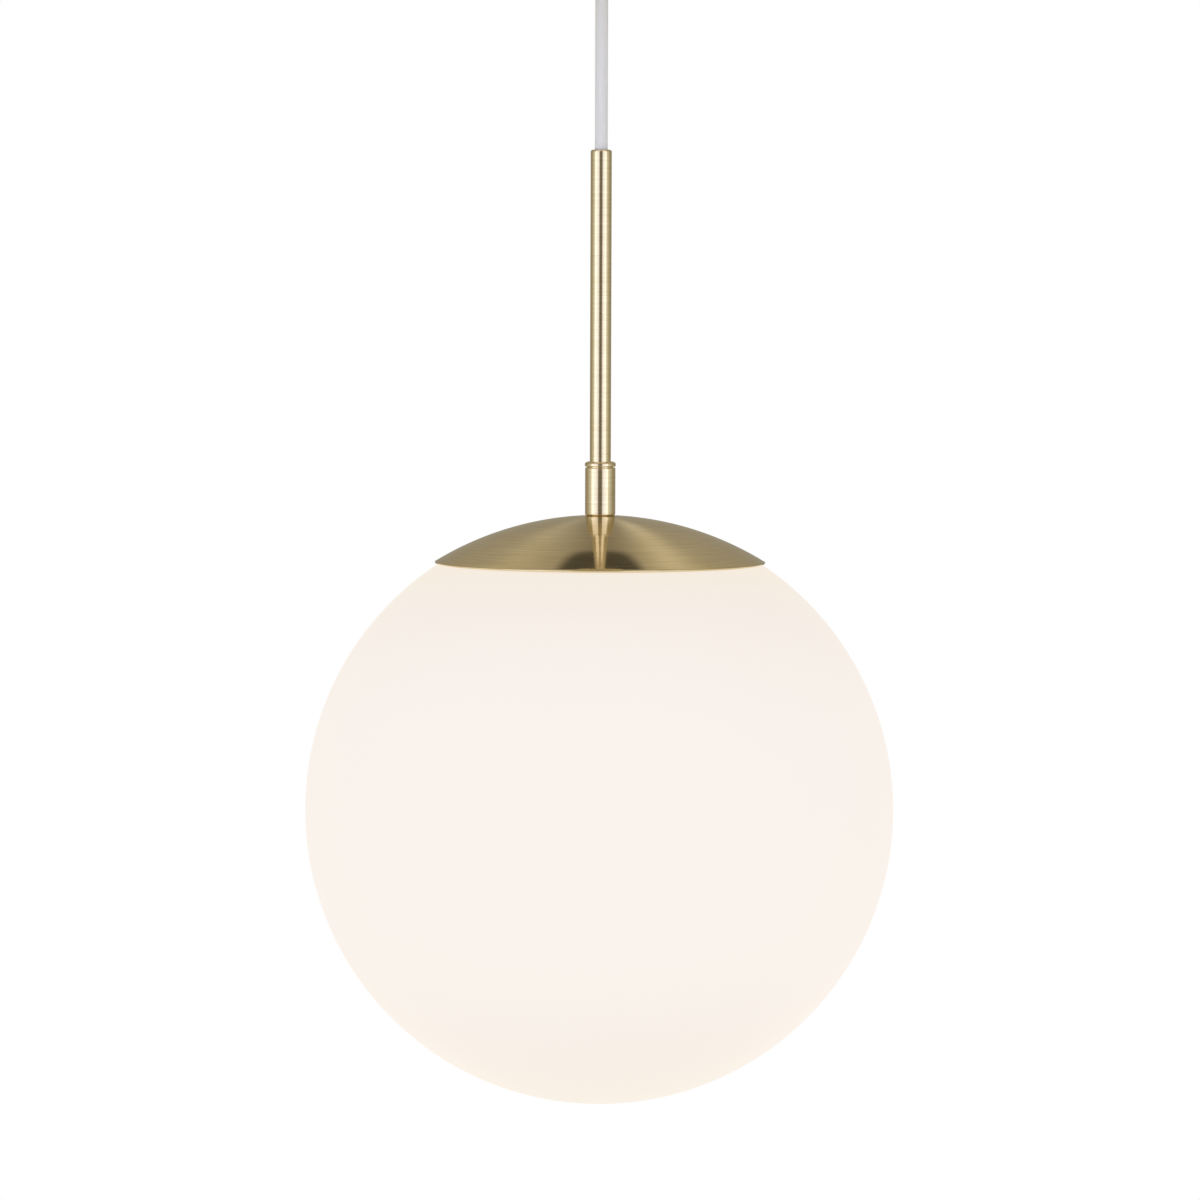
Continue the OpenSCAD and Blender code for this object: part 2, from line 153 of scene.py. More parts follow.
def makeBrushedBrass(name, disc=False, wall=False):
    look = {
        "pale": (0.825, 0.70, 0.455), "deep": (0.72, 0.598, 0.366), "stain": (0.55, 0.43, 0.24),
        "brush": 1900, "along": 42, "band": 640, "bandAlong": 24, "streaks": (0.40, 0.60),
        "rough": 0.05 if disc and not wall else 0.15, "roughSpread": 0.05,
        "anisotropic": 0.85 if disc else 0.55,
    }
    made, start = startMaterial(name)
    x, y, z = axes(start)
    across = (x * x + y * y) ** 0.5 if disc else z  # brush marks run round the axis
    across = across + z if wall else across
    lines = cloud(start, x * look["along"], y * look["along"], across * look["brush"], 4.0, 0.6)
    bands = cloud(start, x * look["bandAlong"], y * look["bandAlong"], across * look["band"], 3.0, 0.6)
    patches = cloud(start, x * 28, y * 28, z * 28, 3.0)
    streaks = within(start, lines * 0.3 + bands * 0.6 + patches * 0.1, *look["streaks"])
    tone = mixed(start, streaks, look["deep"], look["pale"])
    wear = within(start, patches, 0.60, 0.78) * 0.18
    colour = mixed(start, wear, tone, look["stain"])
    rough = look["rough"] + look["roughSpread"] * lines + 0.03 * patches
    shader = start.node("BsdfPrincipled", None, {
        "Base Color": colour, "Metallic": 1.0, "Roughness": rough,
        "Anisotropic": look["anisotropic"], "Anisotropic Rotation": 0.25,
        "Normal": bumped(start, lines * 0.6 + bands * 0.4, 0.22 if disc else 0.14, 0.00003),
    })
    return endMaterial(made, shader)


def makeTurnedBrass():
    made, start = startMaterial("turnedBrass")
    x, y, z = axes(start)
    marks = cloud(start, x * 200, y * 200, z * 3600, 3.0)
    patches = cloud(start, x * 60, y * 60, z * 60, 3.0)
    colour = mixed(start, within(start, patches, 0.35, 0.7), (0.76, 0.60, 0.29), (0.62, 0.46, 0.20))
    shader = start.node("BsdfPrincipled", None, {
        "Base Color": colour, "Metallic": 1.0, "Roughness": 0.18 + 0.2 * marks,
        "Normal": bumped(start, marks, 0.1, 0.00003),
    })
    return endMaterial(made, shader)


def makePlatedSteel(name, first, second, rough=0.28):
    made, start = startMaterial(name)
    x, y, z = axes(start)
    grain = cloud(start, x * 900, y * 260, z * 900, 4.0, 0.6)
    patches = cloud(start, x * 70, y * 70, z * 70, 4.0, 0.6)
    colour = mixed(start, within(start, patches, 0.36, 0.66), first, second)
    shader = start.node("BsdfPrincipled", None, {
        "Base Color": colour, "Metallic": 1.0, "Roughness": rough + 0.2 * grain * patches,
        "Normal": bumped(start, grain, 0.12, 0.00004),
    })
    return endMaterial(made, shader)


def makeOpalGlass():
    look = {
        "middle": (0.845, 0.788, 0.732), "ends": (0.80, 0.725, 0.64),
        "neck": (0.83, 0.757, 0.66), "body": (0.125, 0.12, 0.115),
    }
    made, start = startMaterial("opalGlass")
    x, y, z = axes(start)
    rise = (z - globeCentre) * (1 / globeRadius)
    toEnds = within(start, rise * rise, 0.12, 1.0)
    smoke = cloud(start, x * 9, y * 9, z * 6, 2.0)
    glow = mixed(start, toEnds * 0.85 + smoke * 0.12, look["middle"], look["ends"])
    neck = within(start, rise, 0.70, 0.83) ** 1.6  # warmer where the cap sends light back
    glow = mixed(start, neck, glow, look["neck"])
    skin = mixed(start, smoke, look["body"], [c * 0.97 for c in look["body"]])
    shader = start.node("BsdfPrincipled", None, {
        "Base Color": skin, "Roughness": 0.42 + 0.1 * smoke, "Specular IOR Level": 0.06,
        "Emission Color": glow, "Emission Strength": 1.0,
        "Normal": bumped(start, cloud(start, x * 34, y * 34, z * 34, 1.0), 0.04, 0.0002),
    })
    return endMaterial(made, shader)


def makePlastic(name, colour, rough=0.42, grain=1500, sheen=0.0):
    made, start = startMaterial(name)
    x, y, z = axes(start)
    fine = cloud(start, x * grain, y * grain, z * grain, 2.0)
    broad = cloud(start, x * 55, y * 55, z * 55, 3.0)
    tone = mixed(start, within(start, broad, 0.35, 0.7), colour, [c * 0.82 for c in colour])
    shader = start.node("BsdfPrincipled", None, {
        "Base Color": tone, "Roughness": rough + 0.16 * fine - 0.06 * broad, "Sheen Weight": sheen,
        "Normal": bumped(start, fine, 0.1, 0.00006),
    })
    return endMaterial(made, shader)


def makeGlowing(name, colour, glow, rough=0.4):
    made, start = startMaterial(name)
    x, y, z = axes(start)
    fine = cloud(start, x * 700, y * 700, z * 700, 2.0)
    tone = mixed(start, fine, colour, [c * 0.94 for c in colour])
    lit = mixed(start, fine, glow, [c * 0.96 for c in glow])
    shader = start.node("BsdfPrincipled", None, {
        "Base Color": tone, "Roughness": rough + 0.1 * fine,
        "Emission Color": lit, "Emission Strength": 1.0,
    })
    return endMaterial(made, shader)


weave = {
    "yarns": 28, "perMetre": 1500, "lift": 4000.0,  # lift keeps the yarn counts above zero
    # gap is painted shade: the dark colour that stands for the shadow between the yarns
    "gap": (0.56, 0.55, 0.50), "yarn": (0.86, 0.845, 0.765), "broad": (0.78, 0.77, 0.70),
}


def makeWovenCover():
    made, start = startMaterial("wovenCover")
    x, y, z = axes(start)
    turn = start.maths("ARCTAN2", y, x) * (0.5 / math.pi)
    left = turn * weave["yarns"] + z * (weave["perMetre"] / 2)
    right = turn * weave["yarns"] - z * (weave["perMetre"] / 2)

    def yarn(place):  # rounded back of one yarn, and which yarn it is
        part = start.maths("FRACT", place + weave["lift"])
        back = 1 - (part * 2 - 1) ** 2
        return back, start.maths("FLOOR", place + weave["lift"])

    leftBack, leftCount = yarn(left)
    rightBack, rightCount = yarn(right)
    over = start.maths("ABSOLUTE", start.maths("MODULO", leftCount + rightCount, 2.0))
    leftOver, rightOver = leftBack * 0.75 + 0.25 * rightBack, rightBack * 0.75 + 0.25 * leftBack
    height = over * leftOver + (1 - over) * rightOver
    fluff = cloud(start, x * 3200, y * 3200, z * 3200, 3.0)
    broad = cloud(start, x * 120, y * 120, z * 60, 2.0)
    # painted shade: the low hollows between yarns, and the yarn that passes under, take the darker gap
    # colour
    yarnOrPaintedGapShade = within(start, height * 0.8 + fluff * 0.3, 0.1, 0.95)
    thread = mixed(start, yarnOrPaintedGapShade, weave["gap"], weave["yarn"])
    colour = mixed(start, broad * 0.3, thread, weave["broad"])
    shader = start.node("BsdfPrincipled", None, {
        "Base Color": colour, "Roughness": 0.78 + 0.15 * fluff,
        "Sheen Weight": 0.35, "Sheen Roughness": 0.4,
        "Normal": bumped(start, height * 0.8 + fluff * 0.2, 0.6, 0.00025),
    })
    return endMaterial(made, shader)


def makeFelt():
    made, start = startMaterial("felt")
    x, y, z = axes(start)
    hairs = cloud(start, x * 1800, y * 1800, z * 600, 6.0, 0.7)
    tone = mixed(start, hairs, (0.09, 0.085, 0.08), (0.24, 0.235, 0.22))
    shader = start.node("BsdfPrincipled", None, {
        "Base Color": tone, "Roughness": 0.86 + 0.1 * hairs, "Sheen Weight": 0.5,
        "Normal": bumped(start, hairs, 0.7, 0.0002),
    })
    return endMaterial(made, shader)


def makeCircuit():
    made, start = startMaterial("circuit")
    x, y, z = axes(start)
    tracks = start.maths("FRACT", z * 300.0)
    copper = within(start, tracks, 0.62, 0.7)
    fine = cloud(start, x * 900, y * 900, z * 900, 2.0)
    tone = mixed(start, copper * 0.6 + fine * 0.2, (0.03, 0.16, 0.08), (0.10, 0.34, 0.16))
    shader = start.node("BsdfPrincipled", None, {
        "Base Color": tone, "Roughness": 0.34 + 0.2 * fine, "Normal": bumped(start, copper, 0.3, 0.00005),
    })
    return endMaterial(made, shader)


finish = {
    "stemBrass": makeBrushedBrass("stemBrass"),
    "discBrass": makeBrushedBrass("discBrass", disc=True),
    "cupBrass": makeBrushedBrass("cupBrass", disc=True, wall=True),
    "turnedBrass": makeTurnedBrass(),
    "opal": makeOpalGlass(),
    "cover": makeWovenCover(),
    "zinc": makePlatedSteel("zincPlate", (0.60, 0.61, 0.62), (0.50, 0.50, 0.47)),
    "spring": makePlatedSteel("springSteel", (0.62, 0.62, 0.64), (0.46, 0.45, 0.45), 0.22),
    "nickel": makePlatedSteel("nickelPlate", (0.74, 0.72, 0.68), (0.62, 0.60, 0.56), 0.16),
    "bushGrey": makePlastic("bushGrey", (0.30, 0.295, 0.28), 0.5),
    "phenolic": makePlastic("phenolic", (0.022, 0.021, 0.020), 0.26, 900),
    "whitePlastic": makePlastic("whitePlastic", (0.80, 0.80, 0.78), 0.34),
    "ceramic": makePlastic("ceramic", (0.84, 0.82, 0.76), 0.14, 400),
    "rubber": makePlastic("rubber", (0.03, 0.03, 0.03), 0.62, 1100),
    "brown": makePlastic("brownWire", (0.17, 0.07, 0.03), 0.36),
    "blue": makePlastic("blueWire", (0.04, 0.14, 0.42), 0.36),
    "green": makePlastic("greenWire", (0.10, 0.34, 0.07), 0.36),
    "boardWhite": makePlastic("boardWhite", (0.84, 0.84, 0.81), 0.3),
    "felt": makeFelt(),
    "circuit": makeCircuit(),
    "chips": makeGlowing("chips", (0.80, 0.66, 0.22), (0.9, 0.7, 0.35)),
    "diffuser": makeGlowing("diffuser", (0.62, 0.61, 0.58), (0.50, 0.46, 0.40), 0.3),
}
print("finishes:", len(finish))


def arcPoints(across, up, radius, first, last, steps):  # degrees, 0 points outwards and 90 up
    turns = [math.radians(first + (last - first) * k / steps) for k in range(steps + 1)]
    return [(across + radius * math.cos(a), up + radius * math.sin(a)) for a in turns]


def inMetres(points, foot=0.0):  # points given in millimetres, their heights counted from foot
    return [(*(side * mm for side in point[:-1]), foot + point[-1] * mm) for point in points]


def pullAlong(profile):  # the selected ring is drawn out from point to point
    for (r, z), (nextR, nextZ) in zip(profile, profile[1:]):
        bpy.ops.mesh.extrude_region_move(TRANSFORM_OT_translate={"value": (0, 0, nextZ - z)})
        if abs(nextR - r) > 1e-7:
            grow = nextR / r
            bpy.ops.transform.resize(value=(grow, grow, 1), center_override=(0, 0, nextZ))


def turnPiece(name, profile, sides=96, smooth=40.0):  # a ring pulled round a closed outline
    bpy.ops.object.select_all(action="DESELECT")
    radius, height = profile[0]
    bpy.ops.mesh.primitive_circle_add(vertices=sides, radius=radius, location=(0, 0, height))
    piece = bpy.context.object
    piece.name = name
    piece.data.name = name
    bpy.ops.object.mode_set(mode="EDIT")
    bpy.ops.mesh.select_mode(type="VERT")
    bpy.ops.mesh.select_all(action="SELECT")
    pullAlong(profile)
    bpy.ops.mesh.select_all(action="DESELECT")
    bpy.ops.mesh.select_non_manifold(
        extend=False, use_wire=False, use_multi_face=False, use_non_contiguous=False, use_verts=False
    )
    bpy.ops.mesh.bridge_edge_loops()
    bpy.ops.mesh.select_all(action="SELECT")
    bpy.ops.mesh.normals_make_consistent(inside=False)
    bpy.ops.object.mode_set(mode="OBJECT")
    settle(piece, smooth)
    return piece


def closeEnds():  # caps on the open rings, all faces outwards, and back to object mode
    bpy.ops.mesh.select_all(action="SELECT")
    bpy.ops.mesh.fill_holes(sides=0)
    bpy.ops.mesh.select_all(action="SELECT")
    bpy.ops.mesh.normals_make_consistent(inside=False)
    bpy.ops.object.mode_set(mode="OBJECT")


def turnSolid(name, profile, sides=96, smooth=40.0):  # the same, with both ends drawn in and capped
    bpy.ops.object.select_all(action="DESELECT")
    radius, height = profile[0]
    bpy.ops.mesh.primitive_circle_add(
        vertices=sides, radius=radius, location=(0, 0, height), fill_type="NGON"
    )
    piece = bpy.context.object
    piece.name = name
    piece.data.name = name
    bpy.ops.object.mode_set(mode="EDIT")
    bpy.ops.mesh.select_mode(type="FACE")
    bpy.ops.mesh.select_all(action="SELECT")
    pullAlong(profile)
    bpy.ops.mesh.select_mode(type="VERT")
    closeEnds()
    settle(piece, smooth)
    return piece


def settle(piece, smooth=40.0):  # object back to the origin, with its place in its mesh
    bpy.ops.object.select_all(action="DESELECT")
    piece.select_set(True)
    bpy.context.view_layer.objects.active = piece
    bpy.ops.object.transform_apply(location=True, rotation=True, scale=True)
    bpy.ops.object.shade_smooth_by_angle(angle=math.radians(smooth))


def addModifier(piece, kind, **settings):
    bpy.context.view_layer.objects.active = piece
    made = piece.modifiers.new(kind.lower(), kind)
    for name, value in settings.items():
        setattr(made, name, value)
    bpy.ops.object.modifier_apply(modifier=made.name)


def pickFaces(piece, wanted):  # selects the faces that wanted(centre, normal) accepts
    bpy.ops.object.select_all(action="DESELECT")
    piece.select_set(True)
    bpy.context.view_layer.objects.active = piece
    bpy.ops.object.mode_set(mode="EDIT")
    bpy.ops.mesh.select_mode(type="FACE")
    bpy.ops.mesh.select_all(action="DESELECT")
    bpy.ops.object.mode_set(mode="OBJECT")
    for face in piece.data.polygons:
        face.select = wanted(face.center, face.normal)
    bpy.ops.object.mode_set(mode="EDIT")


def raisePads(piece, low, high, gap, depth, sides=0):  # on each face of a band, or every second side
    def wanted(centre, normal):
        outwards = normal.x * centre.x + normal.y * centre.y > 0
        if not (low < centre.z < high and abs(normal.z) < 0.5 and outwards):
            return False
        return not sides or int((math.atan2(centre.y, centre.x) / math.tau + 1) * sides) % 2 == 0

    pickFaces(piece, wanted)
    bpy.ops.mesh.inset(thickness=gap, depth=depth, use_individual=not sides)
    bpy.ops.object.mode_set(mode="OBJECT")


def cutAway(piece, cutter):
    bpy.ops.object.select_all(action="DESELECT")
    addModifier(piece, "BOOLEAN", operation="DIFFERENCE", object=cutter)
    cutter.select_set(True)
    bpy.ops.object.delete()


# a round ridge that climbs like a thread
def makeRidge(name, radius, low, thick, pitch, turns, steps=48, sides=10):
    bpy.ops.object.select_all(action="DESELECT")
    bpy.ops.mesh.primitive_circle_add(
        vertices=sides, radius=thick, location=(radius, 0, low), rotation=(math.radians(90), 0, 0)
    )
    ridge = bpy.context.object
    ridge.name = name
    bpy.ops.object.transform_apply(location=True, rotation=True, scale=True)
    addModifier(
        ridge, "SCREW", axis="Z", angle=math.tau, screw_offset=pitch, iterations=turns,
        steps=steps, render_steps=steps,
    )
    bpy.ops.object.mode_set(mode="EDIT")
    closeEnds()
    settle(ridge, 50)
    return ridge


def threadRun(r, low, high, pitch, depth):  # outline of a fine thread, from low to high
    count = max(1, int(abs(high - low) / pitch))
    step = (high - low) / count
    return [p for k in range(count) for p in ((r - depth, low + k * step), (r, low + (k + 0.5) * step))]


def makeWire(name, route, radius, sides=12):  # a disc pulled from point to point, square to its way
    points = [Vector(p) for p in route]
    ways = [(b - a).normalized() for a, b in zip(points, points[1:])]
    aims = [ways[0]] + [(a + b).normalized() for a, b in zip(ways, ways[1:])] + [ways[-1]]
    bpy.ops.object.select_all(action="DESELECT")
    bpy.ops.mesh.primitive_circle_add(
        vertices=sides, radius=radius, location=points[0], fill_type="NGON",
        rotation=aims[0].to_track_quat("Z", "Y").to_euler(),
    )
    wire = bpy.context.object
    wire.name = name
    wire.data.name = name
    bpy.ops.object.mode_set(mode="EDIT")
    bpy.ops.mesh.select_mode(type="FACE")
    bpy.ops.mesh.select_all(action="SELECT")
    for here, there, aim, nextAim in zip(points, points[1:], aims, aims[1:]):
        bpy.ops.mesh.extrude_region_move(TRANSFORM_OT_translate={"value": there - here})
        axis, angle = aim.rotation_difference(nextAim).to_axis_angle()
        if angle > 1e-4:
            side = axis.orthogonal().normalized()
            frameMatrix = Matrix((side, axis.cross(side), axis)).transposed()
            bpy.ops.transform.rotate(
                value=-angle, orient_axis="Z", orient_type="LOCAL", orient_matrix=frameMatrix,
                orient_matrix_type="LOCAL", center_override=there,
            )
    bpy.ops.mesh.select_mode(type="VERT")
    closeEnds()
    if sum(face.center.dot(face.normal) * face.area for face in wire.data.polygons) < 0:  # inside out
        bpy.ops.object.mode_set(mode="EDIT")
        bpy.ops.mesh.flip_normals()
        bpy.ops.object.mode_set(mode="OBJECT")
    settle(wire, 60)
    return wire


def softCopy(node, name, body, look, edge=0.15 * mm):  # the CAD shape with its edges eased
    bpy.ops.object.select_all(action="DESELECT")
    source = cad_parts[node]
    source.select_set(True)
    bpy.context.view_layer.objects.active = source
    bpy.ops.object.duplicate(linked=False)
    piece = bpy.context.object
    piece.name = name
    piece.data.name = name
    bpy.ops.object.mode_set(mode="EDIT")
    bpy.ops.mesh.select_mode(type="VERT")
    bpy.ops.mesh.select_all(action="SELECT")
    bpy.ops.mesh.remove_doubles(threshold=0.000002)
    bpy.ops.mesh.dissolve_limited(angle_limit=math.radians(0.4))
    bpy.ops.object.mode_set(mode="OBJECT")
    addModifier(
        piece, "BEVEL", width=edge, segments=2, limit_method="ANGLE", angle_limit=math.radians(40)
    )
    settle(piece, 35)
    fit(piece, body, [node], look)
    return piece


def joinPieces(name, parts):
    bpy.ops.object.select_all(action="DESELECT")
    for part in parts:
        part.select_set(True)
    bpy.context.view_layer.objects.active = parts[0]
    bpy.ops.object.join()
    parts[0].name = name
    parts[0].data.name = name
    return parts[0]


def fit(piece, body, nodes, look):  # finish, body and the CAD nodes that it stands for
    piece.data.materials.clear()
    piece.data.materials.append(finish[look])
    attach(piece, body)
    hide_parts(*nodes)
    return piece


def paint(node, look):
    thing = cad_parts[node]
    thing.data.materials.clear()
    thing.data.materials.append(finish[look])


cordPlan = {
    "route": [(0, 0, z) for z in (-0.043, -0.060, -0.080, -0.100, -0.120, -0.135)],
    "radius": 3.8 * mm, "endTip": 0.05 * mm, "bendTop": -0.0415, "bendFoot": -0.1365,
}


def makeHangingCord():
    r, top, foot, tip = (cordPlan[part] for part in ("radius", "bendTop", "bendFoot", "endTip"))
    profile = [(max(x, tip), z) for x, z in arcPoints(0, foot, r, -89, 0, 8)]  # a round end at each bend
    profile += [(r, z) for _, _, z in reversed(cordPlan["route"])]
    profile += [(max(x, tip), z) for x, z in arcPoints(0, top, r, 0, 89, 8)]
    piece = turnSolid("wovenCord", profile, 64)
    fit(piece, "cord", ["hanging_cord"], "cover")


makeHangingCord()
print("cord made")


glass = {
    "wall": 3 * mm, "opening": 65 * mm, "edgeRound": 0.9 * mm, "pole": -89.9, "sides": 192, "steps": 90,
}


def makeGlobe():
    outer, inner = globeRadius, globeRadius - glass["wall"]
    hole, soft, pole = glass["opening"], glass["edgeRound"], glass["pole"]
    lip = math.degrees(math.acos(hole / outer))
    outline = arcPoints(0, globeCentre, outer, pole, lip - 0.3, glass["steps"])
    edgeTop = globeCentre + math.sqrt(outer ** 2 - hole ** 2)
    edgeFoot = globeCentre + math.sqrt(inner ** 2 - hole ** 2)
    outline += [(hole + 0.25 * mm, edgeTop - 0.05 * mm), (hole, edgeTop - soft)]
    outline += [(hole, edgeFoot + soft * 0.6)]
    innerLip = math.degrees(math.acos(hole / inner))
    outline += arcPoints(0, globeCentre, inner, innerLip - 0.25, pole, glass["steps"])
    piece = turnSolid("opalGlobe", outline, glass["sides"], 60)
    fit(piece, "globe", ["glass_globe"], "opal")


dome = {"flare": 12.5 * mm, "sheet": 0.8 * mm, "hole": 5.06 * mm, "sides": 256, "steps": 40}


def makeDome():
    low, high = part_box("dome_cap")
    radius = globeRadius + dome["flare"]
    centre = high.z - math.sqrt(radius ** 2 - dome["hole"] ** 2)
    rim = high.x
    inner = radius - dome["sheet"]
    topAngle = math.degrees(math.acos(dome["hole"] / radius))
    rimAngle = math.degrees(math.acos((rim - 0.02 * mm) / radius))
    rimHigh = centre + math.sqrt(radius ** 2 - rim ** 2)
    outline = arcPoints(0, centre, radius, topAngle, rimAngle, dome["steps"])
    edge = rimHigh - low.z
    outline += [(rim, rimHigh - 0.1 * edge), (rim - 0.08 * mm, rimHigh - 0.22 * edge)]
    outline += [(rim - 0.3 * mm, rimHigh - 0.6 * edge), (rim - 0.62 * mm, low.z)]
    innerRim = math.degrees(math.acos((rim - 0.7 * mm) / inner))
    innerTop = math.degrees(math.acos(dome["hole"] / inner))
    outline += arcPoints(0, centre, inner, innerRim, innerTop, dome["steps"])
    piece = turnPiece("domeShell", outline, dome["sides"], 50)
    fit(piece, "lamp", ["dome_cap"], "discBrass")


makeGlobe()
makeDome()
print("globe and dome made")


stem = {"wall": 1 * mm, "lip": 1.3 * mm, "rings": 12, "sides": 96}


def makeStem():
    low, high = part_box("stem_tube")
    r, bore = high.x, high.x - stem["wall"]
    outline = [(bore, low.z), (r, low.z)]
    straight, rings = high.z - stem["lip"] - low.z, stem["rings"]
    outline += [(r, low.z + straight * k / rings) for k in range(1, rings)]
    for k in range(9):
        a = math.radians(90 * k / 8)
        outline.append((bore + stem["wall"] * math.cos(a), high.z - stem["lip"] * (1 - math.sin(a))))
    piece = turnPiece("stemTube", outline, stem["sides"], 50)
    fit(piece, "lamp", ["stem_tube"], "stemBrass")


def makeEndBush():
    low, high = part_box("stem_end_bush")
    bore, collar = 3.85 * mm, 4.95 * mm
    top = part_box("stem_tube")[1].z + 0.15 * mm
    outline = [(bore, low.z), (high.x, low.z), (high.x, top - 0.6 * mm), (collar, top - 0.4 * mm)]
    outline += [(collar - 0.1 * mm, top - 0.1 * mm), (collar - 0.35 * mm, top), (bore + 0.25 * mm, top)]
    outline += [(bore, top - 0.25 * mm)]
    piece = turnPiece("endBush", outline, stem["sides"], 40)
    fit(piece, "lamp", ["stem_end_bush"], "bushGrey")


ferrule = {
    "chamfer": 0.6 * mm, "ease": 0.15 * mm, "neck": 1.2 * mm, "groove": 0.5 * mm,
    "bore": 5.05 * mm, "stemBore": 6.3 * mm, "web": 4.2 * mm,
}


def makeFerrule():
    low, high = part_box("ferrule")
    r, cut, ease, neck = high.x, ferrule["chamfer"], ferrule["ease"], ferrule["neck"]
    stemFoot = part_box("stem_tube")[0].z - 0.05 * mm
    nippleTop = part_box("threaded_nipple")[1].z + 0.5 * mm
    outline = [(ferrule["bore"], low.z), (r - cut, low.z)]
    outline += [(r - ease, low.z + cut * 0.8), (r, low.z + cut * 1.2)]
    outline += [(r, low.z + (high.z - low.z) * 0.5), (r, high.z - cut - 0.4 * mm)]
    outline += [(r - ease, high.z - cut - ease)]
    outline += [(r - 0.5 * mm, high.z - ferrule["groove"]), (r - neck, high.z - ferrule["groove"])]
    outline += [(r - neck, high.z), (ferrule["stemBore"], high.z)]
    outline += [(ferrule["stemBore"], stemFoot), (ferrule["web"], stemFoot)]
    outline += [(ferrule["web"], nippleTop), (ferrule["bore"], nippleTop)]
    piece = turnPiece("ferruleBody", outline, 128, 30)
    fit(piece, "lamp", ["ferrule"], "stemBrass")


def makeCollar():
    low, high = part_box("ferrule_collar")
    r, bore, tall = high.x, ferrule["stemBore"], high.z - low.z
    outline = [(bore, low.z), (r - 0.5 * mm, low.z)]
    outline += [(r - 0.16 * mm, low.z + tall * 0.10), (r, low.z + tall * 0.22), (r, low.z + tall * 0.56)]
    outline += [(r - 0.10 * mm, low.z + tall * 0.66), (r - 0.35 * mm, low.z + tall * 0.76)]
    outline += [(r - 0.8 * mm, low.z + tall * 0.86), (r - 1.4 * mm, low.z + tall * 0.95)]
    outline += [(r - 1.9 * mm, high.z), (bore, high.z)]
    piece = turnPiece("collarRing", outline, 128, 50)
    fit(piece, "lamp", ["ferrule_collar"], "stemBrass")


makeStem()
makeEndBush()
makeFerrule()
makeCollar()
print("stem made")


canopy = {"wall": 1 * mm, "corner": 5 * mm, "hole": 5.05 * mm, "sides": 192}


def makeCanopyCup():
    low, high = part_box("canopy_cup")
    r, wall, corner = high.x, canopy["wall"], canopy["corner"]
    outline = [(canopy["hole"], low.z), (r * 0.5, low.z)]
    outline += arcPoints(r - corner, low.z + corner, corner, -90, 0, 10)
    outline += [(r, high.z - 0.3 * mm), (r - 0.1 * mm, high.z - 0.1 * mm)]
    outline += [(r - 0.35 * mm, high.z), (r - wall, high.z)]
    outline += arcPoints(r - corner, low.z + corner, corner - wall, 0, -90, 10)
    outline += [(r * 0.5, low.z + wall), (canopy["hole"], low.z + wall)]
    piece = turnPiece("canopyShell", outline, canopy["sides"], 50)
    fit(piece, "canopy", ["canopy_cup"], "cupBrass")


gland = {
    "flangeFoot": -31.3 * mm, "flangeTop": -28.3 * mm, "stud": 5 * mm, "spigot": 5.5 * mm,
    "bore": 4.1 * mm, "soft": 0.4 * mm, "teeth": 96, "ridges": 80,
}


def makeGlandBody():
    low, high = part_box("gland_body")
    flangeFoot, flangeTop, soft = gland["flangeFoot"], gland["flangeTop"], gland["soft"]
    stud, spigot, bore = gland["stud"], gland["spigot"], gland["bore"]
    outline = [(bore, low.z), (spigot - 0.3 * mm, low.z)]
    outline += threadRun(spigot, low.z + 0.3 * mm, flangeFoot, 0.75 * mm, 0.25 * mm)
    outline += [(spigot, flangeFoot), (high.x - soft, flangeFoot), (high.x, flangeFoot + soft)]
    outline += [(high.x, flangeTop - soft), (high.x - soft, flangeTop), (stud, flangeTop)]
    outline += threadRun(stud, flangeTop + 0.1 * mm, high.z - soft, 1 * mm, 0.3 * mm)
    outline += [(stud - 0.3 * mm, high.z), (bore, high.z)]
    piece = turnPiece("glandBody", outline, gland["teeth"], 35)
    raisePads(piece, flangeFoot + 0.5 * mm, flangeTop - 0.5 * mm, 0.08 * mm, 0.10 * mm, gland["teeth"])
    fit(piece, "canopy", ["gland_body"], "turnedBrass")


def makeGlandCap():
    low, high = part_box("gland_cap")
    wide, tall = high.x / mm, (high.z - low.z) / mm
    outline = inMetres([
        (4.4, 0), (5.6, 0), (6, 0.25), (wide - 0.3, 1.6), (wide, 2.2), (wide, 4.6),
        (wide, tall - 1.2), (wide - 0.35, tall - 1.0), (wide - 0.35, tall - 0.7),  # under the lip
        (wide, tall - 0.5), (wide - 0.15, tall), (5.55, tall), (5.55, 1.5), (4.4, 1.5),
    ], low.z)
    piece = turnPiece("glandCap", outline, gland["ridges"], 35)
    raisePads(piece, low.z + 2.3 * mm, high.z - 1.3 * mm, 0.18 * mm, 0.16 * mm)
    fit(piece, "canopy", ["gland_cap"], "turnedBrass")


def makeGlandGrip():
    low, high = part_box("gland_grip")
    wide, tall = high.x / mm, (high.z - low.z) / mm
    outline = inMetres([
        (3.85, 0), (wide - 0.5, 0), (wide, 0.5), (wide, tall - 0.3), (wide - 0.3, tall), (3.85, tall),
    ], low.z)
    fit(turnPiece("glandGrip", outline, 48), "canopy", ["gland_grip"], "rubber")


nut = {"bore": 5.05 * mm, "round": 0.35 * mm, "lead": 0.5 * mm}


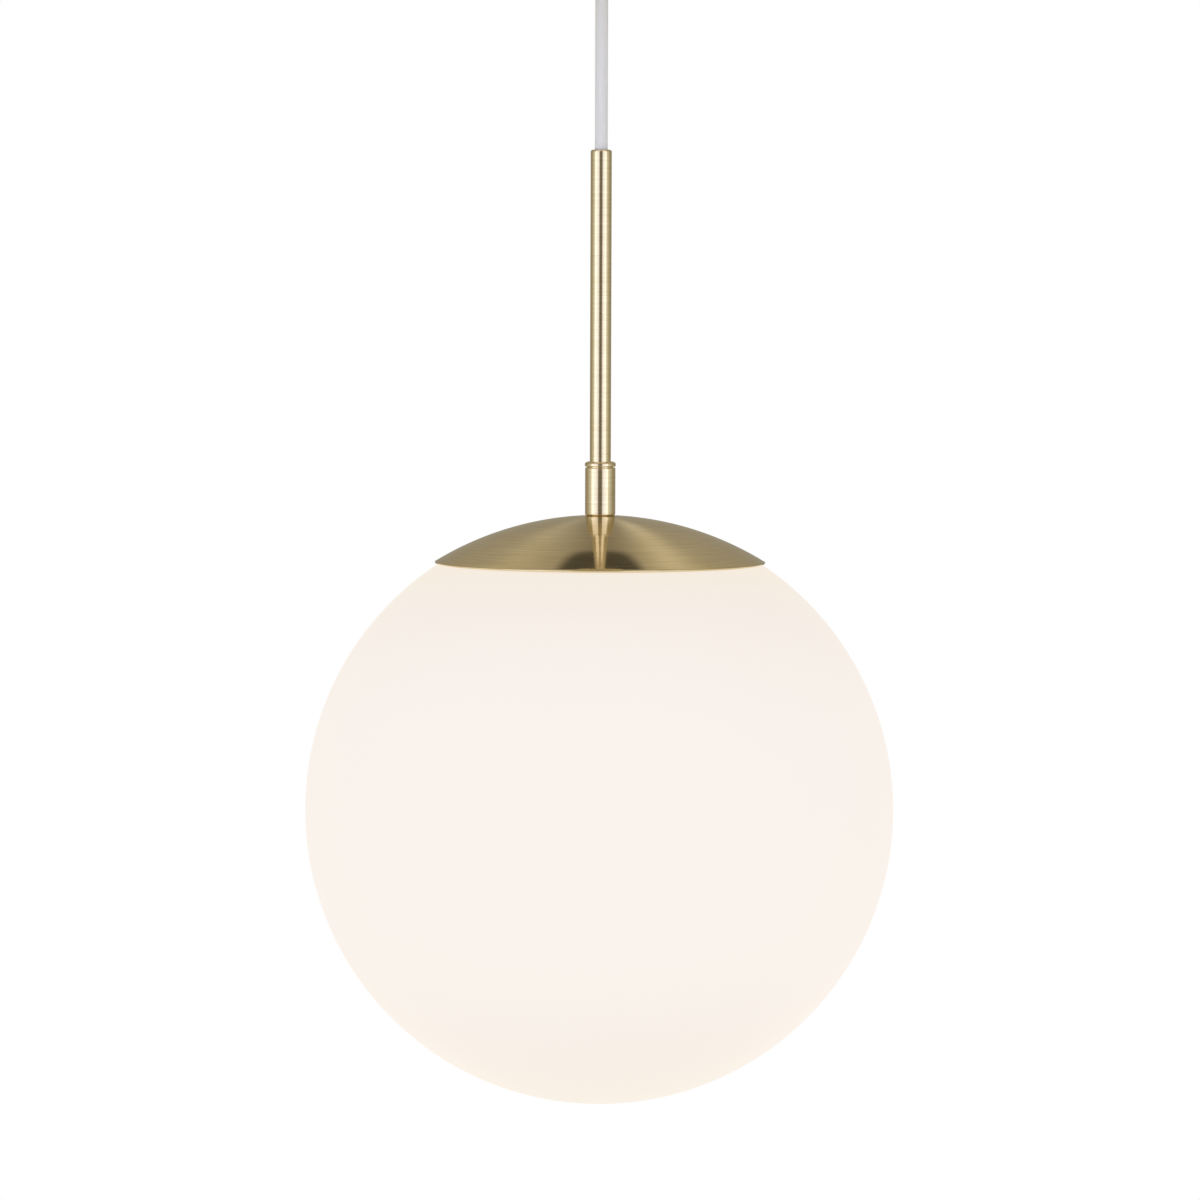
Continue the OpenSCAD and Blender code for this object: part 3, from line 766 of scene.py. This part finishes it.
def makeNut(name, node, body):
    low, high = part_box(node)
    middle, tall, bore, lead = (low.z + high.z) / 2, high.z - low.z, nut["bore"], nut["lead"]
    bpy.ops.object.select_all(action="DESELECT")
    bpy.ops.mesh.primitive_cylinder_add(
        vertices=6, radius=high.x, depth=tall, location=(0, 0, middle), rotation=(0, 0, math.radians(30))
    )
    piece = bpy.context.object
    piece.name = name
    piece.data.name = name
    settle(piece, 30)
    bpy.ops.object.mode_set(mode="EDIT")
    bpy.ops.mesh.select_all(action="SELECT")
    bpy.ops.mesh.bevel(offset=nut["round"], segments=3, affect="EDGES")
    bpy.ops.object.mode_set(mode="OBJECT")
    reach = tall / 2 + 0.5 * mm
    hole = turnSolid(name + "Hole", [  # wider at both ends, as a tapped hole is
        (bore + lead, middle - reach), (bore + lead, low.z - 0.01 * mm), (bore, low.z + lead),
        (bore, high.z - lead), (bore + lead, high.z + 0.01 * mm), (bore + lead, middle + reach),
    ], 48)
    cutAway(piece, hole)
    settle(piece, 30)
    fit(piece, body, [node], "zinc")


screw = {
    "reach": 9.5 * mm, "shank": 2 * mm, "head": 4.5 * mm, "tall": 5 * mm, "slot": 1 * mm,
    "slotDeep": 1.1 * mm, "drop": 8 * mm, "tilt": 20, "ridges": 40,
}


def makeSideScrews():
    reach, shank, head, tall = (screw[part] for part in ("reach", "shank", "head", "tall"))
    outline = [(0.3 * mm, -reach), (shank - 0.5 * mm, -reach)]
    outline += threadRun(shank, -reach + 0.4 * mm, -1.2 * mm, 0.7 * mm, 0.22 * mm)
    outline += inMetres([
        (2.0, 0.05), (4.2, 0.05), (4.5, 0.35), (4.5, 1.45), (4.5, 2.65), (4.5, 4.1), (4.3, 4.5),
        (3.8, 5.0), (0.3, 5.0),
    ])
    first = turnSolid("sideScrew", outline, screw["ridges"], 35)
    raisePads(first, 0.4 * mm, tall - 1.0 * mm, 0.12 * mm, 0.14 * mm)
    bpy.ops.mesh.primitive_cube_add(
        size=1, location=(0, 0, tall), scale=(3 * head, screw["slot"], 2 * screw["slotDeep"])
    )
    cutAway(first, bpy.context.object)
    bpy.ops.object.select_all(action="DESELECT")
    first.select_set(True)
    bpy.context.view_layer.objects.active = first
    bpy.ops.object.duplicate(linked=False)
    second = bpy.context.object
    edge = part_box("canopy_cup")[1].x
    for piece, side in ((first, 1), (second, -1)):
        piece.rotation_euler = (math.radians(screw["tilt"]), math.radians(90), 0 if side > 0 else math.pi)
        piece.location = (side * edge, 0, -screw["drop"])
    settle(joinPieces("sideScrews", [first, second]), 35)
    fit(first, "canopy", ["canopy_screws"], "turnedBrass")


cores = {"radius": 1.1 * mm, "foot": -18 * mm, "looks": {-1: "brown", 0: "green", 1: "blue"}}
leads = {"radius": 0.8 * mm, "looks": {1: "brown", -1: "blue"}}


def makeCores():
    for k, look in cores["looks"].items():  # up out of the cord, over, and down into the terminal block
        route = [
            (k * 2.4, 0, 0), (k * 2.4, 0, 1.5), (k * 2.4, 1.5, 4), (k * 3, 5, 5),
            (k * 6, 12, 3), (k * 9, 18, -2), (k * 10, 24, -3),
        ]
        wire = makeWire("core" + look.title(), inMetres(route, cores["foot"]), cores["radius"])
        fit(wire, "canopy", ["canopy_cores"], look)


def makeLeads():
    for side, look in leads["looks"].items():  # down out of the nipple and out to the two screws
        steps = [(1.4, 0), (1.4, -1), (2, -1.8), (3.4, -2.3), (5, -2.4), (6.5, -2.4)]
        route = inMetres([(side * x, 0, drop) for x, drop in steps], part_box("lamp_leads")[1].z)
        wire = makeWire("lead" + look.title(), route, leads["radius"])
        fit(wire, "lamp", ["lamp_leads"], look)


makeCanopyCup()
makeGlandBody()
makeGlandCap()
makeGlandGrip()
makeNut("glandNut", "gland_lock_nut", "canopy")
makeSideScrews()
makeCores()
makeLeads()
softCopy("ceiling_bracket", "bracket", "ceiling", "zinc", 0.25 * mm)
softCopy("terminal_block", "terminalBlock", "canopy", "whitePlastic", 0.3 * mm)
print("canopy made")


holder = {"pitch": 3.629 * mm, "ribs": 96, "shellBore": 13.4 * mm}


# heights in these outlines are millimetres above the globe's centre
def makeHolderCap():
    outline = inMetres([
        (17.5, 142), (19.3, 142), (19.5, 142.2), (19.5, 145), (19.2, 145.3), (19.2, 145.8), (19.5, 146.1),
        (19.5, 149), (18.9, 149.9), (10.4, 157.5), (10, 158.2), (10, 161), (9.7, 161.7), (9, 162),
        (5.05, 162), (5.05, 152), (10, 152), (17.5, 147),
    ], globeCentre)
    piece = turnPiece("holderCap", outline, holder["ribs"], 30)
    low, high = globeCentre + 146.2 * mm, globeCentre + 148.9 * mm
    raisePads(piece, low, high, 0.1 * mm, 0.2 * mm, holder["ribs"])
    fit(piece, "lamp", ["lampholder_cap"], "phenolic")


def makeHolderSleeve():
    outline = inMetres([
        (16.8, 106), (20.5, 106), (21, 106.5), (21, 108.4), (20.6, 109), (19.7, 109.3), (19.5, 109.8),
        (19.5, 112), (19.5, 138), (19.5, 140.8), (19.3, 141.2), (19.3, 142), (17.5, 142),
        (17.5, 139.95), (14.25, 139.95), (14.25, 113), (16.8, 113), (16.8, 107),
    ], globeCentre)
    piece = turnPiece("holderSleeve", outline, holder["ribs"], 30)
    low, high = globeCentre + 112 * mm, globeCentre + 138 * mm
    raisePads(piece, low, high, 0.22 * mm, 0.45 * mm, holder["ribs"])
    fit(piece, "lamp", ["lampholder_sleeve"], "phenolic")


def makeHolderShell():
    low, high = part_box("lampholder_shell")
    bore = holder["shellBore"]
    outline = [(bore, low.z + 0.4 * mm), (bore + 0.3 * mm, low.z), (high.x, low.z + 0.1 * mm)]
    outline += [(high.x, high.z), (bore, high.z)]
    tube = turnPiece("holderShell", outline, 96)
    ridge = makeRidge("holderRidge", bore + 0.02 * mm, low.z + 3 * mm, 0.24 * mm, holder["pitch"], 5)
    shell = joinPieces("holderShell", [tube, ridge])
    fit(shell, "lamp", ["lampholder_shell"], "turnedBrass")


def makeNipple():
    low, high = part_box("threaded_nipple")
    bore, end, soft = 4 * mm, 4.7 * mm, 0.3 * mm
    outline = [(bore, low.z), (end, low.z)]
    outline += threadRun(high.x, low.z + soft, high.z - soft, 1 * mm, 0.35 * mm)
    outline += [(end, high.z), (bore, high.z)]
    fit(turnPiece("nipple", outline, 64, 20), "lamp", ["threaded_nipple"], "zinc")


def makeBulbShell():
    low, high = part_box("bulb_screw_shell")
    outline = inMetres([
        (11.7, 0), (12.2, 0), (12.2, 2), (12.2, 16), (11.9, 17.4), (11.2, 18.4), (10.7, 18.2),
        (11.7, 16.5),
    ], low.z)
    tube = turnPiece("bulbShell", outline, 96)
    ridge = makeRidge("bulbRidge", 12.05 * mm, low.z + 1.6 * mm, 1.05 * mm, holder["pitch"], 4)
    fit(joinPieces("bulbShell", [tube, ridge]), "bulb", ["bulb_screw_shell"], "nickel")


def makeBulbHousing():
    outline = inMetres([
        (25.6, 72), (25.6, 73), (25.3, 73.3), (25.3, 73.7), (25.5, 74), (25, 76), (24, 79), (21.5, 86),
        (19.2, 92), (17, 98), (15.4, 104), (14.6, 108), (14.2, 110.6), (13.6, 111.6), (12.9, 111.95),
        (12.5, 111.95), (12.5, 116), (12.1, 116), (12.1, 110), (11.1, 106), (15.6, 98), (20.1, 86),
        (23.6, 76), (24.2, 72),
    ], globeCentre)
    piece = turnPiece("bulbHousing", outline, holder["ribs"], 40)
    low, high = globeCentre + 79.5 * mm, globeCentre + 104 * mm
    raisePads(piece, low, high, 0.2 * mm, 0.35 * mm, holder["ribs"])
    fit(piece, "bulb", ["bulb_housing"], "whitePlastic")


bulb = {"diffuser": 30 * mm, "wall": 1.2 * mm, "middle": 56 * mm, "steps": 40}


def makeBulbDiffuser():
    outside, middle = bulb["diffuser"], globeCentre + bulb["middle"]
    outline = arcPoints(0, middle, outside, -89.4, 32.2, bulb["steps"])
    outline += arcPoints(0, middle, outside - bulb["wall"], 33.7, -89.4, bulb["steps"])
    piece = turnSolid("bulbDiffuser", outline, 128, 60)
    fit(piece, "bulb", ["bulb_diffuser"], "diffuser")


makeHolderCap()
makeHolderSleeve()
makeHolderShell()
makeNipple()
makeNut("domeNut", "dome_nut", "lamp")
makeNut("carrierNut", "carrier_nut", "lamp")
makeBulbShell()
makeBulbHousing()
makeBulbDiffuser()
softCopy("carrier_plate", "carrierPlate", "lamp", "zinc", 0.2 * mm)
softCopy("earth_tag", "earthTag", "lamp", "nickel", 0.1 * mm)
for k in (1, 2, 3):
    softCopy("glass_spring_%d" % k, "glassSpring%d" % k, "lamp", "spring", 0.1 * mm)
print("lampholder and bulb made")


# these CAD nodes keep their own shape
for node, look in {
    "bracket_earth_screw": "turnedBrass", "cord_in_canopy": "cover", "terminal_screws": "turnedBrass",
    "cord_in_stem": "cover", "spring_rivets": "zinc", "felt_ring": "felt", "lampholder_insert": "ceramic",
    "lampholder_screws": "turnedBrass", "lampholder_contact": "turnedBrass", "bulb_contact": "nickel",
    "bulb_insulator": "phenolic", "bulb_driver": "circuit", "bulb_led_board": "boardWhite",
    "bulb_leds": "chips",
}.items():
    paint(node, look)


studio = {
    "floorDrop": 3.4, "floorRadius": 9.0, "floorGlow": 0.55,
    "panels": {"panelLeft": (-44, 1.25), "panelRight": (38.5, 1.10)},  # turn in degrees, and width
    "panelDistance": 1.3, "panelHeight": 3.4, "panelRise": 0.95,
    "panelGlow": 1.25, "panelTint": (0.60, 0.655, 0.97),
    "warm": (1.0, 0.903, 0.695), "cool": (0.85, 0.93, 1.0),
}


def makeWorld():  # white behind the lamp, and a soft warm room that only its surfaces see
    world = bpy.data.worlds.new("studioSky")
    bpy.context.scene.world = world
    world.use_nodes = True
    world.node_tree.nodes.clear()
    start = Signal(world.node_tree)
    way = start.node("TexCoord", out="Generated")
    x, y, z = [start.node("SeparateXYZ", None, {"Vector": way}, out=k) for k in range(3)]
    side = start.maths("ARCTAN2", x, 0 - y) * (180 / math.pi)  # 0 at the camera, minus to its left
    fan = start.maths("ARCTAN2", x, 1 - y) * (180 / math.pi)

    def hump(value, middle, width):
        return start.maths("EXPONENT", 0 - ((value - middle) / width) ** 2)

    room = 0.34 + 0.10 * within(start, z, 0.3, 0.75)
    low = 1 - within(start, z, 0.2, 0.5)
    sides = low * (0.58 * hump(side, -68, 32) + 0.58 * hump(side, 62, 31))
    room = room - low * 0.20 * hump(side, 0, 22)
    back = within(start, y, 0.0, 0.2) * within(start, z, 0.2, 0.4)
    room = room + back * (0.20 * hump(fan, 28, 9) + 0.08 * hump(fan, -34, 10) - 0.17 * hump(fan, 0, 16))
    fromMiddle = start.maths("ABSOLUTE", x) - (z - 0.79) * 0.85  # the dark patch is wider towards the rim
    patch = within(start, z, 0.788, 0.802) * (1 - within(start, fromMiddle, 0.05, 0.10)) * back
    room = room * (1 - 0.74 * patch)
    warm = start.node("VectorMath", {"operation": "SCALE"}, {0: studio["warm"], "Scale": room})
    cool = start.node("VectorMath", {"operation": "SCALE"}, {0: studio["cool"], "Scale": sides})
    light = start.node("VectorMath", {"operation": "ADD"}, {0: warm, 1: cool})
    lighting = start.node("Background", None, {"Color": light, "Strength": 1.0})
    backdrop = start.node("Background", None, {"Color": (1, 1, 1, 1), "Strength": 1.0})
    seen = start.node("LightPath", out="Is Camera Ray")
    both = start.node("MixShader", None, {0: seen, 1: lighting, 2: backdrop})
    start.node("OutputWorld", None, {"Surface": both})


def makePanel(name, turn, width):
    a = math.radians(turn)
    spot = Vector((math.sin(a), -math.cos(a), 0)) * studio["panelDistance"]
    spot.z = globeCentre + studio["panelRise"]
    bpy.ops.object.light_add(type="AREA", location=spot, rotation=(math.radians(90), 0, a))
    lamp = bpy.context.object
    lamp.name = name
    lamp.data.shape = "RECTANGLE"
    lamp.data.size = width
    lamp.data.size_y = studio["panelHeight"]
    lamp.data.energy = studio["panelGlow"] * math.pi * width * studio["panelHeight"]
    lamp.data.color = studio["panelTint"]
    lamp.visible_camera = False


def makeFloor():
    level = globeCentre - studio["floorDrop"]
    bpy.ops.mesh.primitive_circle_add(
        vertices=128, radius=studio["floorRadius"], location=(0, 0, level), fill_type="NGON"
    )
    floor = bpy.context.object
    floor.name = "studioFloor"
    settle(floor)
    made, start = startMaterial("paleFloor")
    x, y, z = axes(start)
    grain = cloud(start, x * 40, y * 40, z, 2.0)
    tone = mixed(start, grain, (0.80, 0.80, 0.80), (0.83, 0.83, 0.83))
    shader = start.node("BsdfPrincipled", None, {
        "Base Color": tone, "Roughness": 0.8, "Specular IOR Level": 0.2,
        "Emission Color": tone, "Emission Strength": studio["floorGlow"],
    })
    floor.data.materials.append(endMaterial(made, shader))


makeWorld()
for panelName, (panelTurn, panelWidth) in studio["panels"].items():
    makePanel(panelName, panelTurn, panelWidth)
makeFloor()
bpy.context.scene.view_settings.view_transform = "Standard"
print("studio made")
